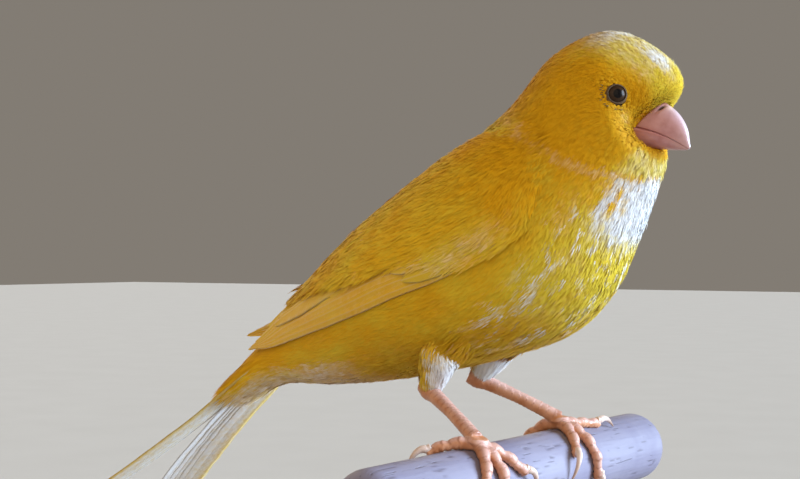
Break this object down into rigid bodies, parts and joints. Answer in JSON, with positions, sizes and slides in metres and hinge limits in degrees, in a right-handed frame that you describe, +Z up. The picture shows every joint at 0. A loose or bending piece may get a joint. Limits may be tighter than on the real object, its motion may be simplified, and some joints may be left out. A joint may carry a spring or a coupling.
{
  "type": "canary",
  "caption": "Still, life-size canary perched on a short cut perch, which two thin rods hold over a round flat display base.",
  "frame": {"origin": "centre of the stand base's flat underside", "axes": "+Z up, +X the way the bird faces, +Y its left side and the direction of the perch"},
  "size_m": [0.1416, 0.104, 0.124],
  "materials": {
    "coat": "soft golden yellow feathers with pale frosted tips, over skin",
    "wing": "gold wing coverts and pale cream flight feathers with yellow edges",
    "tail": "pale lilac white tail feathers with yellow edges",
    "leg": "flesh pink scaled skin, slightly glossy",
    "claw": "pale horn, satin",
    "bill": "pink horn, satin",
    "eye": "near black, wet gloss",
    "perch": "pale painted wood with fine lengthwise grooves",
    "stand_wood": "dark waxed wood, turned",
    "stand_metal": "brushed metal rod"
  },
  "bodies": {
    "root": {"bill_lower": "bill", "bill_upper": "bill", "eye_left": "eye", "eye_right": "eye", "foot_pad_left": "leg", "foot_pad_right": "leg", "hallux_claw_left": "claw", "hallux_claw_right": "claw", "hallux_left": "leg", "hallux_right": "leg", "head": "coat", "inner_toe_claw_left": "claw", "inner_toe_claw_right": "claw", "inner_toe_left": "leg", "inner_toe_right": "leg", "middle_toe_claw_left": "claw", "middle_toe_claw_right": "claw", "middle_toe_left": "leg", "middle_toe_right": "leg", "neck": "coat", "outer_toe_claw_left": "claw", "outer_toe_claw_right": "claw", "outer_toe_left": "leg", "outer_toe_right": "leg", "perch": "perch", "rump": "coat", "stand_base": "stand_wood", "stand_rod_left": "stand_metal", "stand_rod_right": "stand_metal", "tail_left": "tail", "tail_right": "tail", "tarsus_left": "leg", "tarsus_right": "leg", "thigh_left": "coat", "thigh_right": "coat", "trunk": "coat", "wing_coverts_left": "wing", "wing_coverts_right": "wing", "wing_primaries_left": "wing", "wing_primaries_right": "wing"}
  },
  "joints": []
}
